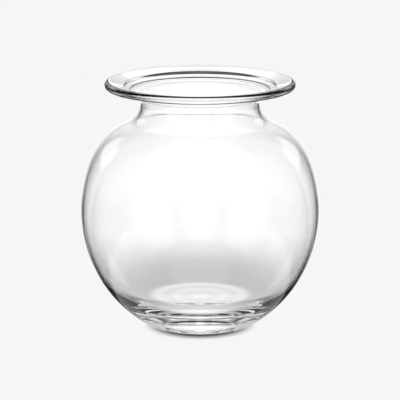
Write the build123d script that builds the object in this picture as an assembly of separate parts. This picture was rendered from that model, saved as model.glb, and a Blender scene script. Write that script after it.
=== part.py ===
from build123d import *
from math import acos, asin, atan2, cos, degrees, hypot, radians, sin, sqrt, tan
import os

os.makedirs("parts", exist_ok=True)

# Rose bowl vase in clear blown glass, in millimetres.
# The axis of the vase is Z, and Z = 0 is the surface that the foot rests on.

# Outside sizes
height = 207.0              # foot to the top of the rim
belly_d = 200.0             # widest ring of the globe
belly_z = 97.0              # height of the widest ring
belly_arc = 112.0           # profile radius of the globe, from the foot blend to the shoulder
shoulder_from = 20.8        # degrees above the widest ring where the shoulder begins
shoulder_arc = 62.0         # profile radius of the shoulder
neck_d = 100.4              # outside of the neck at its waist
neck_arc = 16.0             # hollow radius between shoulder and neck
flare_arc = 9.0             # hollow radius between neck and collar
rim_d = 159.0               # outside of the rim
rim_t = 6.8                 # thickness of the rim at its round edge
collar_bare = 7.9           # straight width of the collar from the flare to the foot of the rim band

# Glass thickness
wall = 2.4                  # globe, neck and collar
floor_z = 8.0               # inside floor on the axis
floor_arc = 230.0           # profile radius of the inside floor
corner_arc = 62.0           # profile radius between floor and wall, where the glass thickens

# Foot
foot_blend = 20.0           # rounding from the globe into the flat foot
ring_w = 8.0                # width of the flat ring that touches the table
push_up = 2.5               # hollow of the underside, on the axis


def polar(centre, radius, angle):
    return (centre[0] + radius * cos(angle), centre[1] + radius * sin(angle))


def arc(centre, radius, start, end):
    return CenterArc(centre, radius, degrees(start), degrees(end - start))


# Centres of the outside arcs, as (radius, height) in the profile plane
belly_c = (belly_d / 2 - belly_arc, belly_z)
up = radians(shoulder_from)
shoulder_c = polar(belly_c, belly_arc - shoulder_arc, up)
reach = shoulder_arc + neck_arc
turn = acos((neck_d / 2 + neck_arc - shoulder_c[0]) / reach)
neck_c = polar(shoulder_c, reach, turn)
flare_c = (neck_d / 2 + flare_arc, neck_c[1])
blend_z = belly_z - foot_blend
blend_c = (belly_c[0] + sqrt((belly_arc - foot_blend) ** 2 - blend_z ** 2), foot_blend)
blend_a = atan2(blend_c[1] - belly_c[1], blend_c[0] - belly_c[0])

# The underside of the collar runs straight from the flare into the round edge of the rim
edge_arc = rim_t / 2
edge_c = (rim_d / 2 - edge_arc, height - edge_arc)
span = (edge_c[0] - flare_c[0], edge_c[1] - flare_c[1])
rise = atan2(span[1], span[0]) - asin((flare_arc + edge_arc) / hypot(*span))
collar_run = hypot(*span) * cos(atan2(span[1], span[0]) - rise)
square = rise + radians(90)
flare_low = polar(flare_c, flare_arc, square)
flare_top = polar(flare_c, flare_arc + wall, square)
collar_low = polar(flare_low, collar_run, rise)
collar_top = polar(flare_top, collar_run, rise)

# The band of the rim lies on the collar, and its inner edge is a half round
band_end = (rim_t - wall) / 2
band_run = collar_run - collar_bare
band_out = polar(edge_c, edge_arc, square)
band_in = polar(band_out, -band_run, rise)
end_c = polar(band_in, -band_end, square)
band_foot = polar(end_c, -band_end, square)

# Inside corner: a circle that touches the inside of the globe and the floor
inner_arc = belly_arc - wall
floor_c = (0.0, floor_z + floor_arc)
to_belly = inner_arc - corner_arc
to_floor = floor_arc - corner_arc
apart = hypot(floor_c[0] - belly_c[0], floor_c[1] - belly_c[1])
line_a = atan2(floor_c[1] - belly_c[1], floor_c[0] - belly_c[0])
swing = acos((to_belly ** 2 + apart ** 2 - to_floor ** 2) / (2 * to_belly * apart))
corner_c = polar(belly_c, to_belly, line_a - swing)
corner_a = line_a - swing
floor_a = atan2(corner_c[1] - floor_c[1], corner_c[0] - floor_c[0])

# Underside: flat ring, then a shallow hollow on the axis
ring_in = blend_c[0] - ring_w
hollow_arc = (ring_in ** 2 + push_up ** 2) / (2 * push_up)
hollow_c = (0.0, push_up - hollow_arc)
hollow_a = atan2(-hollow_c[1], ring_in)

# Bowl: base, globe, neck and collar in one gather of glass
neck_r = neck_d / 2
blend_end = polar(belly_c, belly_arc, blend_a)
blend_knee = (blend_end[0] + blend_end[1] * tan(blend_a), 0)
leave = (cos(turn + radians(90)), sin(turn + radians(90)))
enter = (cos(rise), sin(rise))
shoulder_out = polar(shoulder_c, shoulder_arc, turn)
shoulder_in = polar(shoulder_c, shoulder_arc - wall, turn)
with BuildPart() as bowl:
    with BuildSketch(Plane.XZ):
        with BuildLine():
            # outside, from the axis up to the edge of the collar
            arc(hollow_c, hollow_arc, radians(90), hollow_a)
            Line((ring_in, 0), (blend_c[0], 0))
            Bezier((blend_c[0], 0), blend_knee, blend_end)
            arc(belly_c, belly_arc, blend_a, up)
            arc(shoulder_c, shoulder_arc, up, turn)
            Spline(shoulder_out, (neck_r, neck_c[1]), flare_low, tangents=[leave, enter])
            Line(flare_low, collar_low)
            Line(collar_low, collar_top)
            # inside, from the edge of the collar down to the axis
            Line(collar_top, flare_top)
            Spline(shoulder_in, (neck_r - wall, neck_c[1]), flare_top, tangents=[leave, enter])
            arc(shoulder_c, shoulder_arc - wall, turn, up)
            arc(belly_c, inner_arc, up, corner_a)
            arc(corner_c, corner_arc, corner_a, floor_a)
            arc(floor_c, floor_arc, floor_a, radians(-90))
            Line((0, floor_z), (0, push_up))
        make_face()
    revolve(axis=Axis.Z)

# Rim bead: a wrap of glass, pressed flat on the collar and rolled round its edge, fused with no clearance
with BuildPart() as rim_bead:
    with BuildSketch(Plane.XZ):
        with BuildLine():
            arc(edge_c, edge_arc, square - radians(180), square)
            Line(band_out, band_in)
            arc(end_c, band_end, square, square + radians(180))
            Line(band_foot, collar_top)
            Line(collar_top, collar_low)
        make_face()
    revolve(axis=Axis.Z)

pieces = {"bowl": bowl.part, "rim_bead": rim_bead.part}
for name, piece in pieces.items():
    piece.label = name
    export_step(piece, f"parts/{name}.step")
    box = piece.bounding_box()
    print(name, "volume", round(piece.volume / 1000, 1), "cm3", "size", box.size)
print("collar rise", round(degrees(rise), 1), "degrees")
print("inside floor to wall at radius", round(polar(corner_c, corner_arc, corner_a)[0], 1))
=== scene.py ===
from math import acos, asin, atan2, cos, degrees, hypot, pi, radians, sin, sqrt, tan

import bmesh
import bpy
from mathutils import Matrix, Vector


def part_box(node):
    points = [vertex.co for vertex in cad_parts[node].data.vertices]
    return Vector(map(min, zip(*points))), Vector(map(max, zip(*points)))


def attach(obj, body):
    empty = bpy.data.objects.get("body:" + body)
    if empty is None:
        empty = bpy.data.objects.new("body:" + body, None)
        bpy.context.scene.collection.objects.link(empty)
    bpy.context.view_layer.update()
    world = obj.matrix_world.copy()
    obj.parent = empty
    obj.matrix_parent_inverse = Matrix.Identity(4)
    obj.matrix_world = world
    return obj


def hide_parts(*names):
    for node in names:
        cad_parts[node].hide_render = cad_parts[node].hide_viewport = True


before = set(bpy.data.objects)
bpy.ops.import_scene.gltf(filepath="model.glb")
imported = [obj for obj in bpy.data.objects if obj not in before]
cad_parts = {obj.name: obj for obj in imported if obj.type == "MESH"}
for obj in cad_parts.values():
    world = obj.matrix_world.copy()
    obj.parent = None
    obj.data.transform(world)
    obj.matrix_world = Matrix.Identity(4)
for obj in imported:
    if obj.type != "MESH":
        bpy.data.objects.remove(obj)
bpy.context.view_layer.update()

# %% [markdown]
# # A rose bowl vase in clear blown glass
# The vase is a heavy foot, a globe, a short neck and a wide collar that ends in a thick flat rim.
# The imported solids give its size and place, and this lesson gives it one continuous skin of glass.
# The bowl and its rim were fused hot, so no seam is left between them in the real vase.
# Two glass solids that touch would show a false seam, so both become a single closed mesh here.

MM = 0.001
belly_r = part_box("bowl")[1].x / MM
rim_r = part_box("rim_bead")[1].x / MM
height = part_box("rim_bead")[1].z / MM
print("belly radius", round(belly_r, 2), "rim radius", round(rim_r, 2))
print("height", round(height, 2), "mm")

# %% [markdown]
# ## Where the curves of the profile turn
# A blown vessel is a chain of arcs that meet tangent to tangent, so each arc needs only a radius.
# The centres follow from the radii: two arcs that touch have their centres on one line.
# A hand-drawn curve could give the same outline, but any bump in it would show as a ring in the glass.
# All sizes are in millimetres here, as (radius, height) in the plane of the profile.

# %% outside of the globe, shoulder and neck
belly_z = 97.0
belly_arc = 112.0
shoulder_from = radians(20.8)
shoulder_arc = 62.0
neck_r = 50.2
neck_arc = 16.0
flare_arc = 9.0


def polar(centre, radius, angle):
    return (centre[0] + radius * cos(angle), centre[1] + radius * sin(angle))


belly_c = (belly_r - belly_arc, belly_z)
shoulder_c = polar(belly_c, belly_arc - shoulder_arc, shoulder_from)
reach = shoulder_arc + neck_arc
turn = acos((neck_r + neck_arc - shoulder_c[0]) / reach)
neck_c = polar(shoulder_c, reach, turn)
flare_c = (neck_r + flare_arc, neck_c[1])
print("neck waist at height", round(neck_c[1], 1))

# %% [markdown]
# ## The heavy base
# The wall is thin and even, but the glass gathers in the base, where it thickens to a heavy lens.
# One large arc rounds the inside from the wall into the floor. It touches both, so its centre is
# where two circles cross: one around the centre of the globe, one around the centre of the floor.
# This arc matters most for the looks, because the thick glass under it bends light into dark crescents.

# %% wall, inside corner and floor
wall = 2.4
floor_z = 8.0
floor_arc = 230.0
corner_arc = 62.0
inner_arc = belly_arc - wall
floor_c = (0.0, floor_z + floor_arc)
apart = hypot(floor_c[0] - belly_c[0], floor_c[1] - belly_c[1])
line_a = atan2(floor_c[1] - belly_c[1], floor_c[0] - belly_c[0])
to_belly = inner_arc - corner_arc
to_floor = floor_arc - corner_arc
corner_a = line_a - acos((to_belly ** 2 + apart ** 2 - to_floor ** 2) / (2 * to_belly * apart))
corner_c = polar(belly_c, to_belly, corner_a)
floor_a = atan2(corner_c[1] - floor_c[1], corner_c[0] - floor_c[0])
print("the wall begins to thicken at height", round(polar(corner_c, corner_arc, corner_a)[1], 1))

# %% [markdown]
# ## The foot
# The vase stands on a flat ring around a slight hollow, as a blown base does: a base that bulged
# even a little would rock. A blend arc leads from the globe into the ring.

# %% blend, flat ring and hollow
foot_blend = 20.0
ring_w = 8.0
push_up = 2.5
blend_z = belly_z - foot_blend
blend_c = (belly_c[0] + sqrt((belly_arc - foot_blend) ** 2 - blend_z ** 2), foot_blend)
blend_a = atan2(blend_c[1] - belly_c[1], blend_c[0] - belly_c[0])
ring_in = blend_c[0] - ring_w
hollow_arc = (ring_in ** 2 + push_up ** 2) / (2 * push_up)
hollow_c = (0.0, push_up - hollow_arc)
hollow_a = atan2(-hollow_c[1], ring_in)
print("flat ring from radius", round(ring_in, 1), "to", round(blend_c[0], 1))

# %% [markdown]
# ## The collar
# The collar opens like a funnel, and its underside runs straight into the round outer edge of the rim.
# This line touches two circles, the flare of the neck and the round edge, so its slope follows from them.
# Points above it are easiest to give along the collar and square to it, so a helper turns them into
# the profile.

# %% slope of the collar and the round edge
rim_t = 6.8
edge_arc = rim_t / 2
edge_c = (rim_r - edge_arc, height - edge_arc)
span = hypot(edge_c[0] - flare_c[0], edge_c[1] - flare_c[1])
span_a = atan2(edge_c[1] - flare_c[1], edge_c[0] - flare_c[0])
rise = span_a - asin((flare_arc + edge_arc) / span)
collar_run = span * cos(span_a - rise)
square = rise + pi / 2


def on_collar(along, above):
    """A point at a distance along the underside of the collar and above it."""
    return polar(polar(polar(flare_c, flare_arc, square), along, rise), above, square)


print("collar rises", round(degrees(rise), 1), "degrees over", round(collar_run, 1), "mm")

# %% [markdown]
# ## Drawing the profile
# The profile is one chain of edges in the XZ plane. A pen is the newest vertex of that chain.
# Spinning a single vertex about a centre draws an arc, and extruding it draws a straight stretch.
# So the profile needs no list of points, and each stretch gets as many steps as its bend asks for.

# %% a pen for arcs and lines
bm = bmesh.new()


def arc(pen, centre, sweep, steps):
    made = bmesh.ops.spin(
        bm, geom=[pen], cent=(centre[0], 0, centre[1]), axis=(0, -1, 0), dvec=(0, 0, 0),
        angle=sweep, steps=steps, use_duplicate=False,
    )
    return [part for part in made["geom_last"] if isinstance(part, bmesh.types.BMVert)][0]


def line(pen, point, steps):
    step = ((point[0] - pen.co.x) / steps, 0, (point[1] - pen.co.z) / steps)
    for _ in range(steps):
        pen = bmesh.ops.extrude_vert_indiv(bm, verts=[pen])["verts"][0]
        bmesh.ops.translate(bm, verts=[pen], vec=step)
    return pen


# %% outside, from the axis up to the edge of the collar
shoulder_steps = 34
neck_steps = 24
flare_steps = 20
pen = bm.verts.new((0, 0, push_up))
pen = arc(pen, hollow_c, hollow_a - pi / 2, steps=14)
pen = line(pen, (blend_c[0], 0), steps=5)
pen = arc(pen, blend_c, blend_a + pi / 2, steps=16)
pen = arc(pen, belly_c, shoulder_from - blend_a, steps=64)
pen = arc(pen, shoulder_c, turn - shoulder_from, shoulder_steps)
pen = arc(pen, neck_c, -turn, neck_steps)
pen = arc(pen, flare_c, square - pi, flare_steps)
pen = line(pen, on_collar(collar_run, 0), steps=12)
print("outside points", len(bm.verts))

# %% [markdown]
# ## The wrap on the collar
# A wrap of glass lies on the collar, pressed flat, with a round outer edge. Its inner edge goes down
# in two rounded steps: from the full thickness to a thinner shelf, and from the shelf to the collar.
# One half round would be simpler to draw, but each step shows as a fine line of its own in the glass.
# A step is a round over its top, a slope, and a small hollow where the hot glass melted together.

# %% a rounded step
def step_down(pen, foot, high, low, slope, top_round, foot_round):
    """A rounded step to a lesser thickness, which it reaches at a distance along the collar."""
    drop = high - low - (top_round + foot_round) * (1 - cos(slope))
    inner = foot + foot_round * sin(slope)
    outer = inner + drop / tan(slope) + top_round * sin(slope)
    pen = line(pen, on_collar(outer, high), steps=6)
    pen = arc(pen, on_collar(outer, high - top_round), slope, steps=12)
    pen = line(pen, on_collar(inner, low + foot_round * (1 - cos(slope))), steps=3)
    return arc(pen, on_collar(foot, low + foot_round), -slope, steps=8)


# %% round the edge and down both steps
shelf_t = 4.9
band_foot = 7.0
band_slope = radians(50.0)
band_round = 2.0
band_crease = 0.6
shelf_foot = 2.0
shelf_slope = radians(85.0)
shelf_round = 0.5
shelf_crease = 0.4
pen = arc(pen, edge_c, pi, steps=44)
pen = step_down(pen, band_foot, rim_t, shelf_t, band_slope, band_round, band_crease)
pen = step_down(pen, shelf_foot, shelf_t, wall, shelf_slope, shelf_round, shelf_crease)
print("points up to the bare collar", len(bm.verts))

# %% back down the inside to the axis
pen = line(pen, on_collar(0, wall), steps=4)
pen = arc(pen, flare_c, pi - square, flare_steps)
pen = arc(pen, neck_c, turn, neck_steps)
pen = arc(pen, shoulder_c, shoulder_from - turn, shoulder_steps)
pen = arc(pen, belly_c, corner_a - shoulder_from, steps=50)
pen = arc(pen, corner_c, floor_a - corner_a, steps=24)
pen = arc(pen, floor_c, -pi / 2 - floor_a, steps=20)
print("profile points", len(bm.verts), "ends at", tuple(round(v, 3) for v in pen.co))

# %% [markdown]
# ## Spinning the glass
# The vase was turned on a blowpipe all the while it was hot, and the mesh is made the same way.
# One full spin with use_merge closes the seam. The points on the axis fall together, so doubles are
# merged, and only then are the normals recalculated: glass with a face turned round renders black.

# %% spin the profile into a closed skin
steps_round = 208
merge_within = 0.005 * MM
bmesh.ops.scale(bm, vec=(MM, MM, MM), verts=bm.verts)
bmesh.ops.spin(
    bm, geom=bm.verts[:] + bm.edges[:], cent=(0, 0, 0), axis=(0, 0, 1), dvec=(0, 0, 0),
    angle=2 * pi, steps=steps_round, use_merge=True, use_duplicate=False,
)
bmesh.ops.remove_doubles(bm, verts=bm.verts, dist=merge_within)
bmesh.ops.recalc_face_normals(bm, faces=bm.faces)
for face in bm.faces:
    face.smooth = True
print("glass volume", round(bm.calc_volume(signed=True) / MM ** 3 / 1000, 1), "cm3")
skin = bpy.data.meshes.new("vase_glass")
bm.to_mesh(skin)
bm.free()

# %% hand the skin to the frame
vase = bpy.data.objects.new("vase_glass", skin)
bpy.context.scene.collection.objects.link(vase)
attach(vase, "root")
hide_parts("bowl", "rim_bead")
print("glass faces", len(skin.polygons))

# %% [markdown]
# ## Sums with sockets
# Shader nodes can be wired one by one, but a formula reads better. This class wraps a socket,
# and each operator on it adds one Math node. Any other node comes from its node method.


# %% a socket that takes part in sums
class Value:
    def __init__(self, tree, socket=None):
        self.tree = tree
        self.socket = socket

    def node(self, kind, settings, sockets, out=0):
        made = self.tree.nodes.new(kind)
        for name, setting in settings.items():
            setattr(made, name, setting)
        for name, value in sockets.items():
            if isinstance(value, Value):
                self.tree.links.new(value.socket, made.inputs[name])
            else:
                made.inputs[name].default_value = value
        return Value(self.tree, made.outputs[out]) if made.outputs else made

    def other(self, out):
        return Value(self.tree, self.socket.node.outputs[out])

    def maths(self, operation, *values):
        return self.node("ShaderNodeMath", {"operation": operation}, dict(enumerate(values)))

    def ramp(self, low, high):
        sockets = {"Value": self, "From Min": low, "From Max": high}
        return self.node("ShaderNodeMapRange", {"interpolation_type": "SMOOTHSTEP"}, sockets)

    def root(self):
        return self.maths("SQRT", self)

    def larger(self, other):
        return self.maths("MAXIMUM", self, other)

    def __abs__(self):
        return self.maths("ABSOLUTE", self)

    def __add__(self, other):
        return self.maths("ADD", self, other)

    def __radd__(self, other):
        return self.maths("ADD", other, self)

    def __sub__(self, other):
        return self.maths("SUBTRACT", self, other)

    def __rsub__(self, other):
        return self.maths("SUBTRACT", other, self)

    def __mul__(self, other):
        return self.maths("MULTIPLY", self, other)

    def __rmul__(self, other):
        return self.maths("MULTIPLY", other, self)

    def __truediv__(self, other):
        return self.maths("DIVIDE", self, other)

    def __rtruediv__(self, other):
        return self.maths("DIVIDE", other, self)


# %% [markdown]
# ## Clear glass
# The glass is colourless and fire-polished: the last heat melts the skin as smooth as a liquid.
# So it has no roughness, and its whole look comes from its shape and from what stands around it.
# Soda-lime glass bends light by an index of about 1.5.

# %% the glass
glass_index = 1.5
glass = bpy.data.materials.new("clear_glass")
glass.use_nodes = True
surface = glass.node_tree.nodes["Principled BSDF"].inputs
surface["Base Color"].default_value = (1.0, 1.0, 1.0, 1.0)
surface["Roughness"].default_value = 0.0
surface["IOR"].default_value = glass_index
surface["Transmission Weight"].default_value = 1.0
skin.materials.append(glass)
print("glass index", surface["IOR"].default_value)

# %% [markdown]
# ## A studio for glass
# A lamp alone hardly shows clear glass. Photographers light the ground behind it instead, and keep
# the sides dark: the glass stays bright, and its edges bend the dark sides into view as grey lines.
# So the camera sees a plain pale backdrop, and the glass sees a studio: a lit sheet behind the vase,
# dark sides, a dark gap above and a soft light overhead. In an even pale world the globe would all
# but vanish. Three more sheets serve views from 0, 45 and 90 degrees. This is the studio's weak point:
# seen from any other side, no sheet stands behind the vase, and the clear glass looks dark.

# %% which way the sheets stand
facing = 225.0
other_views = (0.0, 45.0, 90.0)
ahead = radians(facing + 90)
front = ahead + pi
panels = [ahead] + [radians(view + 90) for view in other_views]
backdrop = 0.922
tiny = 1e-9
print("sheets", len(panels), "the back one at", facing + 90, "degrees")

# %% directions in the world
world = bpy.data.worlds.new("studio")
bpy.context.scene.world = world
world.use_nodes = True
world.node_tree.nodes.clear()
start = Value(world.node_tree)
where = start.node("ShaderNodeTexCoord", {}, {}, "Generated")
dir_x = start.node("ShaderNodeSeparateXYZ", {}, {"Vector": where})
dir_y = dir_x.other(1)
dir_z = dir_x.other(2)
seen = start.node("ShaderNodeLightPath", {}, {}, "Is Camera Ray")
flat = (dir_x * dir_x + dir_y * dir_y + tiny).root()


def towards(angle):
    """Cosine of the angle between a direction, laid flat, and a side of the studio."""
    return (dir_x * cos(angle) + dir_y * sin(angle)) / flat


def climb(first, last):
    """0 below the first elevation, 1 above the last, in degrees."""
    return dir_z.ramp(sin(radians(first)), sin(radians(last)))


print("nodes for directions", len(world.node_tree.nodes))

# %% [markdown]
# ## The lit sheets
# A sheet is full in its middle and fades out at its ends, by the angle to it. Low down it is bright.
# Higher up it is wider and softer, with a brighter middle that lights the neck and the shoulders.

# %% a sheet on each lit side
front_more = 7.0


def sheet(full, end):
    """1 on the lit sheets, 0 past their ends, by the angle to the nearest sheet in degrees."""
    best = None
    for angle in panels:
        last = end if angle == ahead else end + front_more
        part = towards(angle).ramp(cos(radians(last)), cos(radians(full)))
        best = part if best is None else best.larger(part)
    return best


# %% the low and the high part of the sheets
dark = 0.04
white = 1.21
low_full = 8.0
low_end = 23.0
wide_full = 13.0
wide_end = 28.0
wide_white = 0.68
middle_full = 4.0
middle_end = 12.0
middle_white = 0.38
low = dark + sheet(low_full, low_end) * (white - dark)
high = dark + sheet(wide_full, wide_end) * wide_white
high = high + sheet(middle_full, middle_end) * middle_white
print("nodes with sheets", len(world.node_tree.nodes))

# %% [markdown]
# ## Dark strips and side lights
# Two narrow dark strips hang before the back sheet, left and right of its middle. They darken the
# round ends of the rim. Further out, two soft lights lift the shoulders and the rim's ends a little.
# Both are pairs of soft patches, so one helper makes them. It takes four angles across and four
# upward: where a patch begins, where it is full, where it starts to fade and where it ends.

# %% pairs of patches beside the middle of the back sheet
behind = towards(ahead)


def patches(across, upward):
    begin, full, fade, end = [cos(radians(angle)) for angle in across]
    under, bottom, top_edge, over = [sin(radians(angle)) for angle in upward]
    pair = behind.ramp(end, fade) * (1 - behind.ramp(full, begin))
    return pair * dir_z.ramp(under, bottom) * (1 - dir_z.ramp(top_edge, over))


# %% strips and lights
flag_across = (1.5, 3.0, 6.5, 9.0)
flag_upward = (4.0, 8.0, 21.0, 25.0)
flag_dark = 0.85
side_across = (26.0, 31.0, 50.0, 60.0)
side_upward = (8.0, 12.0, 24.0, 32.0)
side_white = 0.8
high = high * (1 - flag_dark * patches(flag_across, flag_upward))
side = patches(side_across, side_upward) * side_white
print("nodes with strips and lights", len(world.node_tree.nodes))

# %% [markdown]
# ## From the paper up to the light overhead
# The elevation decides which part of the studio shows: the low sheets, the high sheets, the dark gap
# or the light overhead. The camera itself gets the plain backdrop in every direction.

# %% the whole world
high_from = -12.5
high_to = -9.0
sky = 0.06
sky_from = 36.0
sky_to = 42.0
top = 1.1
top_from = 62.0
top_to = 75.0
rising = climb(high_from, high_to)
up = climb(sky_from, sky_to)
over_head = climb(top_from, top_to)
glow = low * (1 - rising) + high * rising
glow = glow * (1 - up) + up * (sky + over_head * (top - sky))
glow = glow.larger(side)
glow = glow * (1 - seen) + seen * backdrop
shine = start.node("ShaderNodeBackground", {}, {"Color": glow, "Strength": 1.0})
start.node("ShaderNodeOutputWorld", {}, {"Surface": shine})
print("world nodes", len(world.node_tree.nodes))

# %% [markdown]
# ## The table
# The vase stands on pale paper that runs on into the backdrop. The camera sees it as plain paper with
# a small soft shadow under the foot. Through the glass it matters more, because the base is a strong
# lens that gathers the paper from all sides. Lamps would light all of it alike, so the paper glows by
# a formula instead. Sizes on the paper are in metres.

# %% a sheet of paper
paper_half = 6.0
paper_mesh = bpy.data.meshes.new("paper")
bm = bmesh.new()
bmesh.ops.create_grid(bm, x_segments=1, y_segments=1, size=paper_half)
bm.to_mesh(paper_mesh)
bm.free()
paper = bpy.data.objects.new("paper", paper_mesh)
bpy.context.scene.collection.objects.link(paper)
print("paper", 2 * paper_half, "m wide")

# %% places on the paper
pale = bpy.data.materials.new("pale_paper")
pale.use_nodes = True
pale.node_tree.nodes.clear()
paper_mesh.materials.append(pale)
start = Value(pale.node_tree)
place = start.node("ShaderNodeTexCoord", {}, {}, "Object")
x = start.node("ShaderNodeSeparateXYZ", {}, {"Vector": place})
y = x.other(1)
seen = start.node("ShaderNodeLightPath", {}, {}, "Is Camera Ray")


def from_point(along):
    """Distance from a point that lies some way behind the axis, seen from the camera."""
    dx = x - along * cos(ahead)
    dy = y - along * sin(ahead)
    return (dx * dx + dy * dy + tiny).root()


r = from_point(0.0)
print("nodes for places", len(pale.node_tree.nodes))

# %% [markdown]
# ## Painted light and shade under the vase
# For the glass, the paper is dark at the sides: painted shade around the foot. A bright disc behind the
# axis is a painted pool of light, which shows through the base as a pale ellipse, and its faint painted
# rings of light look like ripples in thick glass. A second disc before the axis is a painted pool of
# light that lights the front of the base.

# %% painted shade at the sides and two painted pools of light
shade_ring_r = 0.118
side_r = 0.30
shade_near = 0.05
shade_far = 0.17
under_at = 0.052
under_full = 0.036
under_end = 0.068
under_high = 0.90
painted_ring_spacing = 0.017
painted_ring_depth = 0.06
front_at = -0.035
front_full = 0.012
front_end = 0.055
front_high = 1.05
# painted shade: for the glass, the paper is darker near the foot
grey = shade_near + (shade_far - shade_near) * r.ramp(shade_ring_r, side_r)
# a painted pool of light behind the axis, with faint painted rings of light in it
out = from_point(under_at)
painted_rings = 1 + painted_ring_depth * out.maths("SINE", out * (2 * pi / painted_ring_spacing))
grey = grey.larger((1 - out.ramp(under_full, under_end)) * under_high * painted_rings)
# a second painted pool of light, before the axis
grey = grey.larger((1 - from_point(front_at).ramp(front_full, front_end)) * front_high)
print("nodes with discs", len(pale.node_tree.nodes))

# %% [markdown]
# ## The way to the sheets
# The paper glows bright along the way to each sheet, and brighter further out: painted light. Near
# the vase it is darker in a ring, painted shade, and on the way to the back sheet its middle is darker
# still, a painted shadow of the vase, so the lower part of the globe turns grey there.

# %% how bright the paper is, by distance
mid_r = 0.36
far_r = 0.75
shade_ring_low = 0.58
mid_high = 1.03
far_high = 1.17
edge_low = 0.92
# painted shade: a darker ring around the vase, lighter further out
fall = shade_ring_low + (mid_high - shade_ring_low) * r.ramp(shade_ring_r, mid_r)
fall = fall + (far_high - mid_high) * r.ramp(mid_r, far_r)
edge = edge_low + (far_high - edge_low) * r.ramp(shade_ring_r, mid_r)
print("paper level from", shade_ring_low, "to", far_high)

# %% a strip towards each sheet
strip_full = 0.26
strip_end = 0.36
painted_shadow_full = 0.03
painted_shadow_end = 0.13
least_along = 0.0001
for angle in panels:
    along = (x * cos(angle) + y * sin(angle)).larger(least_along)
    aside = abs(x * sin(angle) - y * cos(angle))
    strip = 1 - (aside / along.root()).ramp(strip_full, strip_end)
    # painted shadow of the vase, in the middle of the way to the back sheet
    painted_shadow = 1 - aside.ramp(painted_shadow_full, painted_shadow_end)
    level = edge - (edge - fall) * painted_shadow if angle == ahead else fall
    grey = grey.larger(strip * level)
print("nodes with strips", len(pale.node_tree.nodes))

# %% [markdown]
# ## Open paper on the camera's side
# Three strips alone would leave dark gaps between them, so the paper on the camera's side glows bright
# all over, painted light for the glass. This hardly shows from the camera or from straight behind.

# %% open paper
open_in = 0.14
open_out = 0.22
open_full = 50.0
open_end = 75.0
facing_it = (x * cos(front) + y * sin(front)) / r
# painted light: the paper glows on the camera's side, for the glass
open_part = facing_it.ramp(cos(radians(open_end)), cos(radians(open_full)))
open_part = open_part * r.ramp(open_in, open_out)
grey = grey.larger(open_part * fall)
print("nodes with open paper", len(pale.node_tree.nodes))

# %% [markdown]
# ## Shadow, and the end of the paper
# Paper that glows takes no shadow, so the small soft one under the foot is drawn for the camera.
# Further out the paper ends for the glass, and the lit sheets take over.

# %% shadow and end
shadow_at = 0.011
shadow_in = 0.031
shadow_out = 0.049
shadow_low = 0.03
near_in = 0.40
near_out = 0.75
shadow = shadow_low + (1 - shadow_low) * from_point(-shadow_at).ramp(shadow_in, shadow_out)
colour = seen * backdrop * shadow + (1 - seen) * grey
lit = start.node("ShaderNodeEmission", {}, {"Color": colour, "Strength": 1.0})
gone = start.node("ShaderNodeBsdfTransparent", {}, {})
ends = r.ramp(near_in, near_out) * (1 - seen)
mixed = start.node("ShaderNodeMixShader", {}, {0: ends, 1: lit, 2: gone})
start.node("ShaderNodeOutputMaterial", {}, {"Surface": mixed})
print("paper nodes", len(pale.node_tree.nodes))

# %% [markdown]
# ## The camera
# A long lens, two metres away, shows little perspective. It stands about a third of a metre above the
# rim and looks down, so the mouth shows as an ellipse.

# %% camera
distance = 2.0
camera_z = 0.5541
pitch = 0.2208
sensor_mm = 36.0
lens_mm = 220.09
sees_to = 50.0
camera_data = bpy.data.cameras.new("camera")
camera_data.sensor_width = sensor_mm
camera_data.lens = lens_mm
camera_data.clip_end = sees_to
camera = bpy.data.objects.new("camera", camera_data)
scene = bpy.context.scene
scene.collection.objects.link(camera)
camera.location = (sin(radians(facing)) * distance, -cos(radians(facing)) * distance, camera_z)
camera.rotation_euler = (pi / 2 - pitch, 0, radians(facing))
scene.camera = camera
print("camera at", tuple(round(v, 3) for v in camera.location))

# %% [markdown]
# ## Light inside the glass
# Light passes many walls on its way through the vase, so it is followed for many bounces. Light that
# is mirrored to and fro inside the glass is followed for fewer, which keeps the base and the ends of
# the rim darker.

# %% view and bounces
bounces = 14
mirror_bounces = 8
scene.view_settings.view_transform = "Standard"
scene.cycles.max_bounces = bounces
scene.cycles.transmission_bounces = bounces
scene.cycles.glossy_bounces = mirror_bounces
scene.cycles.transparent_max_bounces = bounces
print("bounces", bounces, "of them mirrored", mirror_bounces)
